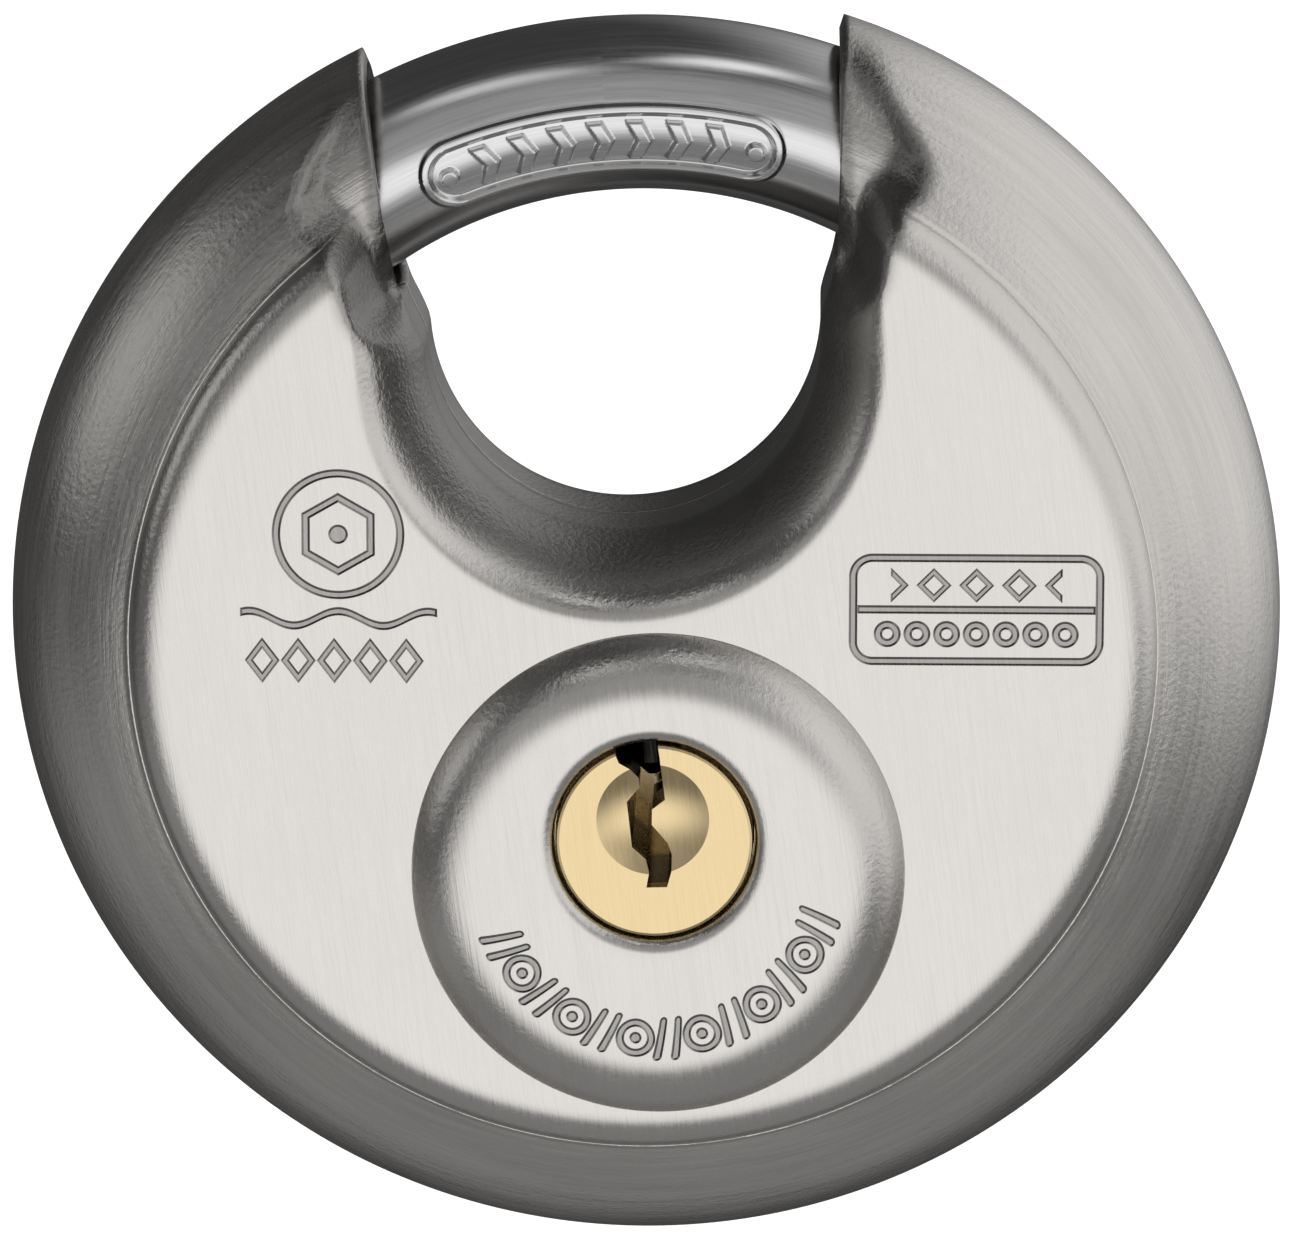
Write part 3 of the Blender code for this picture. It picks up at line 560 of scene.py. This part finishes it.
FRONT, BACK, PLUG_R = -13.3, 0.2, 5.33
DISH_DEPTH, DISH_R, DISH_RAISED, TANG_HALF = 0.7, 3.05, 1.2, 2.4
axis_z = plug_z / MM
turned = [(0, FRONT), (PLUG_R - 0.18, FRONT), (PLUG_R - 0.05, FRONT + 0.05), (PLUG_R, FRONT + 0.2)]
plug = turned_solid("plug_turned", [*turned, (PLUG_R, BACK), (0, BACK)], axis_z)
square = np.array([(-1, -1), (1, -1), (1, 1), (-1, 1)]) * TANG_HALF + (0, axis_z)
combine(plug, [prism("tang", square, BACK - 1, 3.5)], "UNION")
dish = [(r, FRONT + DISH_DEPTH - DISH_DEPTH * (r / DISH_R) ** 2) for r in np.linspace(0, DISH_R + 0.05, 12)]
dish += [(DISH_R + 0.05, FRONT - 1), (0, FRONT - 1)]
slot_cut = prism("slot", keyway(), -20, BACK - 0.6)
holes = [pin_hole(f"hole_{y}", y, -9.0, 0, 0.97) for y in (-8.3, -5.95, -3.6, -1.25)]
screw_hole = turned_solid("screw_hole", [(0, 0.8), (1.3, 0.8), (1.3, 6), (0, 6)], axis_z, steps=48)
combine(plug, [turned_solid("dish", dish, axis_z + DISH_RAISED), slot_cut, *holes, screw_hole], "DIFFERENCE")
plug.data.set_sharp_from_angle(angle=math.radians(18))
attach(plug, "plug")
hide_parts("plug")
print("plug", len(plug.data.polygons), "faces")

# %% [markdown]
# ## The pin springs
# Each spring is a wire wound in a helix between a driver pin and the cover of the chambers. A driver that rises
# squeezes its spring. Here each coil is wound to the height of the frame's spring and rides on the lock's body.


# %% Springs
def coil(name, y, low, high, radius, wire, turns):
    """A helix of round wire: a circle carried along x = r cos, y = r sin, with height rising with the angle."""
    run = np.linspace(0, turns * 2 * np.pi, turns * 28 + 1)[:, None]
    girth = np.linspace(0, 2 * np.pi, 10, endpoint=False)[None, :]
    end = np.ones_like(run)
    end[[0, -1]] = 0.02  # the wire's two ends close to a point
    flat, rise = wire * np.cos(girth) * end, wire * np.sin(girth) * end
    height = low + wire + (high - low - 2 * wire) * run / run[-1]
    points = np.stack(((radius + flat) * np.cos(run), (radius + flat) * np.sin(run), height + rise), axis=-1)
    return mesh_object(name, (points + (0, y, 0)) * MM, grid_faces(len(run), 10, False, True), None)


for number in range(1, 5):
    low, high = (np.array(corner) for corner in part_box(f"pin_spring_{number}"))
    middle = (low + high) / 2 - np.array(disc_middle)
    bottom, top = (low[2] - disc_middle.z) / MM, (high[2] - disc_middle.z) / MM
    spring = coil(f"pin_coil_{number}", middle[1] / MM, bottom, top, 0.64, 0.12, 4)
    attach(spring, "lock_body")
    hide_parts(f"pin_spring_{number}")
    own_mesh(spring)
print("springs stand", round(top - bottom, 2), "mm high")

# %% [markdown]
# ## Writing patterns as sums
# A procedural pattern is arithmetic on a point's place. A small class lets the node tree be written as that
# arithmetic: each sum, product or distance adds one Math node and hands back its output.


# %% Node arithmetic
class Wire:
    """A number that runs through a node tree. Arithmetic on it makes Math nodes."""

    def __init__(self, tree, socket):
        self.tree, self.socket = tree, socket

    def math(self, operation, *others):
        node = self.tree.nodes.new("ShaderNodeMath")
        node.operation = operation
        for place, value in zip(node.inputs, (self, *others)):
            if isinstance(value, Wire):
                self.tree.links.new(value.socket, place)
            else:
                place.default_value = value
        return Wire(self.tree, node.outputs[0])

    def __add__(self, other):
        return self.math("ADD", other)

    def __sub__(self, other):
        return self.math("SUBTRACT", other)

    def __mul__(self, other):
        return self.math("MULTIPLY", other)

    def __abs__(self):
        return self.math("ABSOLUTE")

    def near(self, other):
        return self.math("MINIMUM", other)

    def far(self, other):
        return self.math("MAXIMUM", other)

    def wrapped(self, pitch):
        """The distance to the nearest multiple of pitch, with its sign."""
        return self - (self * (1 / pitch) + 0.5).math("FLOOR") * pitch

    def fade(self, start, end):
        """Goes smoothly from 0 at start to 1 at end."""
        node = self.tree.nodes.new("ShaderNodeMapRange")
        node.interpolation_type = "SMOOTHSTEP"
        node.inputs["From Min"].default_value, node.inputs["From Max"].default_value = start, end
        self.tree.links.new(self.socket, node.inputs["Value"])
        return Wire(self.tree, node.outputs["Result"])


def length(a, b):
    """The length of a flat vector made of two wires."""
    return (a * a + b * b).math("SQRT")


def effect(name, takes, gives):
    """A shader node group with these vector inputs and number outputs, and its two end nodes."""
    tree = bpy.data.node_groups.new(name, "ShaderNodeTree")
    for label in takes:
        tree.interface.new_socket(label, in_out="INPUT", socket_type="NodeSocketVector")
    for label in gives:
        tree.interface.new_socket(label, in_out="OUTPUT", socket_type="NodeSocketFloat")
    return tree, tree.nodes.new("NodeGroupInput"), tree.nodes.new("NodeGroupOutput")


def parts_of(tree, vector):
    """The X, Y and Z of a vector, as wires."""
    node = tree.nodes.new("ShaderNodeSeparateXYZ")
    tree.links.new(vector, node.inputs[0])
    return [Wire(tree, socket) for socket in node.outputs]


def noise(tree, x, y, z, detail=3.0, roughness=0.55):
    """Noise read at a place made of three wires, centred on 0."""
    place = tree.nodes.new("ShaderNodeCombineXYZ")
    for value, socket in zip((x, y, z), place.inputs):
        tree.links.new(value.socket, socket)
    node = tree.nodes.new("ShaderNodeTexNoise")
    node.inputs["Scale"].default_value = 1.0
    node.inputs["Detail"].default_value = detail
    node.inputs["Roughness"].default_value = roughness
    tree.links.new(place.outputs[0], node.inputs["Vector"])
    return Wire(tree, node.outputs["Fac"]) - 0.5


# %% [markdown]
# ## Effects that the metals share
# Brushing leaves fine scratches that all run one way: up the flat faces, and round the rim on the bulge. Noise
# stretched along the stroke gives them. Handling leaves soft patches, which is noise at a larger size.

# %% Brushing
brushing, start, end = effect("brushing", ["Place"], ["Straight", "Round"])
x, y, z = parts_of(brushing, start.outputs["Place"])
radius = length(x, z)
bearing = x.math("ARCTAN2", z * -1)
straight = noise(brushing, x * 5.5 + z * 0.35, y * 1.5, z * 0.16) + noise(brushing, x * 16 + z, y * 3, z * 0.5) * 0.6
curled = noise(brushing, radius * 4.5, y * 4.5, bearing * 4.0)
curled = curled + noise(brushing, radius * 14, y * 14, bearing * 12.0) * 0.6
curled = curled + noise(brushing, radius * 1.1, y * 1.1, bearing * 1.6) * 0.8
brushing.links.new(straight.socket, end.inputs["Straight"])
brushing.links.new(curled.socket, end.inputs["Round"])

# %% Patches and pits
handling, start, end = effect("handling", ["Place"], ["Patches", "Pits"])
x, y, z = parts_of(handling, start.outputs["Place"])
patches = noise(handling, x * 0.16, y * 0.16, z * 0.16, 4.0)
pits = noise(handling, x * 3.2, y * 3.2, z * 3.2, 2.0, 0.6)
handling.links.new(patches.socket, end.inputs["Patches"])
handling.links.new(pits.socket, end.inputs["Pits"])

# %% [markdown]
# ## The stamped marks
# The marks on the face are plain ornaments: a ring about a hexagon over a wave and a row of lozenges on the left,
# a framed pair of rows on the right, and a fan of strokes and dots under the keyhole. Each is drawn by a distance,
# and the groove is wherever the nearest distance is less than the tool's width.

# %% Marks
marks, start, end = effect("stamped_marks", ["Place"], ["Groove"])
x, y, z = parts_of(marks, start.outputs["Place"])
lean_c, lean_s = math.cos(ROLL), math.sin(ROLL)


def local(x0, z0):
    """Wires for place along and across a mark whose middle is at x0, z0 and which leans a few degrees."""
    dx, dz = x - x0, z - z0
    return dx * lean_c - dz * lean_s, dx * lean_s + dz * lean_c


a, b = local(-15.9, 7.0)
ring = abs(length(a, b - 0.9) - 3.35)
hexagon = abs(abs(a).far(abs(a) * 0.5 + abs(b - 0.9) * 0.866) - 1.75)
hub = (length(a, b - 0.9) - 0.3).far(0.0)
wave = abs(b + 3.75 - (a * 1.3).math("COSINE") * 0.4).far(abs(a) - 5.1)
drawn = ring.near(hexagon).near(hub).near(wave)
a, b = local(-16.6, 0.95)
lozenge = abs(abs(a.wrapped(1.95)) + abs(b) * 0.75 - 0.72).far(abs(a) - 4.6)
drawn = drawn.near(lozenge)
a, b = local(18.2, 1.35)
border = abs(length((abs(a) - 5.6).far(0.0), (abs(b) - 1.8).far(0.0)) - 1.05)
bar_line = abs(b).far(abs(a) - 6.2)
upper = abs(abs(a.wrapped(2.3)) + abs(b - 1.35) - 0.72).far(abs(a) - 4.4)
lower = abs(length(a.wrapped(1.6), b + 1.35) - 0.5).far(abs(a) - 5.4)
drawn = drawn.near(border).near(bar_line).near(upper).near(lower)
FAN_PITCH, FAN_R = math.radians(23), 9.1
fan_turn = x.math("ARCTAN2", (z + 11.7) * -1)
across = length(x, z + 11.7) - FAN_R
along = fan_turn.wrapped(FAN_PITCH) * FAN_R + across * 0.2
stroke = length(abs(abs(along) - 0.45), (abs(across) - 1.0).far(0.0))
beside = (fan_turn + FAN_PITCH / 2).wrapped(FAN_PITCH) * FAN_R
link = abs(length(beside, across) - 0.85).near(length(beside, across) - 0.1)
stroke = stroke.far(abs(fan_turn) * FAN_R - FAN_R * math.radians(76))
link = link.far(abs(fan_turn) * FAN_R - FAN_R * math.radians(65))
drawn = drawn.near(stroke).near(link)
groove = drawn.fade(0.24, 0.1) * y.fade(-10.8, -11.2)
marks.links.new(groove.socket, end.inputs["Groove"])

# %% [markdown]
# ## The metals
# A metal is a Principled shader with Metallic at 1. What makes stainless look brushed is a height of a few
# microns that differs along and across the stroke, so the height is written in metres and one Bump node reads it.
# In the notch and beside the ears the sheet is painted darker as painted shade, and is also made duller and pitted.


# %% Metal maker
MICRON = 1e-6


def metal(name, colour, roughness, scratch, patch, layout):
    """A metal whose scratches, patches and pits come from the shared effects. layout picks the brushing."""
    made = bpy.data.materials.new(name)
    made.use_nodes = True
    tree = made.node_tree
    shader = tree.nodes["Principled BSDF"]
    shader.inputs["Metallic"].default_value = 1.0
    place = tree.nodes.new("ShaderNodeTexCoord")
    to_mm = tree.nodes.new("ShaderNodeMapping")
    to_mm.inputs["Scale"].default_value = (1000, 1000, 1000)
    to_mm.inputs["Location"].default_value = tuple(-1000 * c for c in disc_middle)
    tree.links.new(place.outputs["Object"], to_mm.inputs["Vector"])
    found = {}
    for group in (brushing, handling, marks):
        node = tree.nodes.new("ShaderNodeGroup")
        node.node_tree = group
        tree.links.new(to_mm.outputs[0], node.inputs["Place"])
        found.update({socket.name: Wire(tree, socket) for socket in node.outputs})
    x, y, z = parts_of(tree, to_mm.outputs[0])
    outside = length(x, z).fade(27.6, 28.0)
    if layout == "straight":
        grain = found["Straight"]
    elif layout == "round":
        grain = found["Round"]
    else:
        grain = found["Straight"] + (found["Round"] - found["Straight"]) * outside
    facing = parts_of(tree, place.outputs["Normal"])[1]
    rounded = abs(facing).fade(0.99, 0.9)
    if layout == "case":
        grain = grain * (rounded * (outside - 1.0) * 0.7 + 1.0)
    pit_depth = rounded * (28 * MICRON) + MICRON if layout == "case" else 1.5 * MICRON
    height = grain * (scratch * MICRON) + found["Pits"] * pit_depth
    rough = grain * 0.18 + found["Patches"] * 0.12 + roughness
    tone = grain * 0.3 + found["Patches"] * patch + 1.0
    if layout == "straight":
        # Painted shade: the walls of the plug's slot are painted dark from 1 mm behind its face to half way in, where
        # the slot lies in shade.
        keyway_painted_shade = abs(x).fade(2.1, 1.8) * z.fade(-13.4, -12.9) * y.fade(-12.35, -12.1) * y.fade(-5.0, -6.5)
        tone = tone - keyway_painted_shade * 0.92
    if layout == "case":
        told = tree.nodes.new("ShaderNodeAttribute")
        told.attribute_name = "shade_and_dullness"
        shade_and_dullness = Wire(tree, told.outputs["Fac"])
        # Painted shade: the notch and the hollows beside the ears are painted darker. They are also made rougher and
        # more pitted.
        tone = tone * (shade_and_dullness * (found["Patches"] * 0.25 - 0.6) + 1.0)
        rough = rough + shade_and_dullness * 0.1
        height = height + found["Pits"] * shade_and_dullness * (40 * MICRON)
        # The stamped grooves are sunk by the bump, and painted darker as painted shade.
        height = height - found["Groove"] * (160 * MICRON)
        tone = tone - found["Groove"] * 0.45
        rough = rough + rounded * 0.03
    bump = tree.nodes.new("ShaderNodeBump")
    bump.inputs["Distance"].default_value = 1.0
    tree.links.new(height.socket, bump.inputs["Height"])
    tree.links.new(bump.outputs[0], shader.inputs["Normal"])
    tree.links.new(rough.far(0.05).socket, shader.inputs["Roughness"])
    tint = tree.nodes.new("ShaderNodeMix")
    tint.data_type = "RGBA"
    tint.inputs["A"].default_value = (0, 0, 0, 1)
    tint.inputs["B"].default_value = (*colour, 1)
    tint.clamp_factor = False
    tree.links.new(tone.socket, tint.inputs["Factor"])
    tree.links.new(tint.outputs["Result"], shader.inputs["Base Color"])
    return made


stainless = metal("brushed_stainless", (0.695, 0.672, 0.645), 0.25, 18.0, 0.08, "case")
plated_bar = metal("polished_plating", (0.70, 0.70, 0.70), 0.2, 2.0, 0.10, "round")
bare_brass = metal("turned_brass", (0.80, 0.63, 0.36), 0.24, 2.5, 0.10, "straight")
zinc = metal("zinc_plating", (0.60, 0.62, 0.64), 0.42, 2.0, 0.12, "straight")
nickel_silver = metal("nickel_silver", (0.72, 0.68, 0.58), 0.28, 1.5, 0.08, "straight")
spring_wire = metal("spring_wire", (0.45, 0.46, 0.48), 0.33, 1.0, 0.08, "round")

# %% [markdown]
# The parts kept from the frame take their finishes by slot from one table, and the fine pieces are given theirs one
# by one.

# %% Finishes by slot
finishes = {
    "case_steel": stainless,
    "hardened_steel": plated_bar,
    "cylinder_brass": bare_brass,
    "zinc_plated_steel": zinc,
    "pin_nickel_silver": nickel_silver,
    "spring_steel": spring_wire,
}
for entry in frame["record"]["subparts"]:
    part = nodes[entry["node"]]
    part.data.materials.clear()
    part.data.materials.append(finishes[entry["material_slot"]])
for piece, finish in (
    (front_shell, stainless),
    (rear_shell, stainless),
    (boss, stainless),
    (bar, plated_bar),
    (plug, bare_brass),
    *((bpy.data.objects[f"pin_coil_{number}"], spring_wire) for number in range(1, 5)),
):
    piece.data.materials.clear()
    piece.data.materials.append(finish)

# %% [markdown]
# ## The studio
# Metal shows what stands round it. The lock hangs in a white cove that the metal itself doesn't reflect. What it
# reflects are soft panels of light in a dark room: a wide one in front and a little below for the flat face, a tall
# one on the right, two dim ones on the left, a dim one higher in front, and two small ones overhead.

# %% Cove
reach, rise = np.array([(0, -0.3), (2.6, -0.3), (3.2, -0.22), (3.5, 0.0), (3.6, 0.5), (3.6, 4.0)]).T[:, :, None]
around = np.linspace(0, 2 * np.pi, 96, endpoint=False)
cove_points = np.stack((reach * np.sin(around), reach * np.cos(around), rise + 0 * around), axis=-1)
cove_points -= np.array(disc_middle)
cove = mesh_object("studio_cove", cove_points, grid_faces(len(reach), 96, False, True), None, 60)
paint = bpy.data.materials.new("cove_paint")
paint.use_nodes = True
wall_shader = paint.node_tree.nodes["Principled BSDF"]
wall_shader.inputs["Base Color"].default_value = (0.9, 0.9, 0.9, 1)
wall_shader.inputs["Emission Color"].default_value = (1, 1, 1, 1)
wall_shader.inputs["Emission Strength"].default_value = 0.95
cove.data.materials.append(paint)
cove.visible_glossy = False
cove.visible_diffuse = False
cove.visible_shadow = False

# %% Panels of light
world = bpy.data.worlds.new("studio")
world.use_nodes = True
bpy.context.scene.world = world
tree = world.node_tree
sky = tree.nodes["Background"]
toward = tree.nodes.new("ShaderNodeTexCoord")
dx, dy, dz = parts_of(tree, toward.outputs["Generated"])


def panel(azimuth, elevation, half_width, half_height, soft, strength):
    """A soft-edged oval of light, by its angles in degrees. Azimuth 0 is in front of the keyhole, 90 on its right."""
    az, el = math.radians(azimuth), math.radians(elevation)
    ahead = Vector((math.sin(az) * math.cos(el), -math.cos(az) * math.cos(el), math.sin(el)))
    side = Vector((math.cos(az), math.sin(az), 0))
    over = side.cross(ahead) * -1
    dots = [dx * v.x + dy * v.y + dz * v.z for v in (ahead, side, over)]
    u = dots[1].math("ARCTAN2", dots[0]) * (1 / math.radians(half_width))
    v = dots[2].math("ARCSINE") * (1 / math.radians(half_height))
    return length(u, v).fade(1 + soft, 1 - soft) * strength


floor = dz.fade(-0.25, -0.85) * dy.fade(0.75, 0.2) * 0.19
light = floor + 0.05
for place in (
    (0, -15, 45, 19, 0.6, 1.09),
    (100, 20, 60, 43, 0.4, 0.78),
    (-88, 22, 18, 16, 0.5, 0.5),
    (-84, -22, 30, 14, 0.6, 0.17),
    (0, 27, 50, 20, 0.4, 0.3),
    (-25, 55, 12, 6, 0.5, 0.8),
    (30, 64, 9, 6, 0.5, 1.2),
):
    light = light + panel(*place)
tree.links.new(light.socket, sky.inputs["Strength"])
sky.inputs["Color"].default_value = (1, 1, 1, 1)
bpy.context.scene.view_settings.view_transform = "Standard"

# %% [markdown]
# ## Size
# The fine surfaces must fill the same box as the working model, so the size of the fine surfaces' box is printed.

# %% Size
corners = []
for obj in (front_shell, rear_shell, boss, bar, plug):
    corners += [obj.matrix_world @ v.co for v in obj.data.vertices]
corners = np.array(corners)
print("visual size in mm", np.round((corners.max(axis=0) - corners.min(axis=0)) / MM, 2))
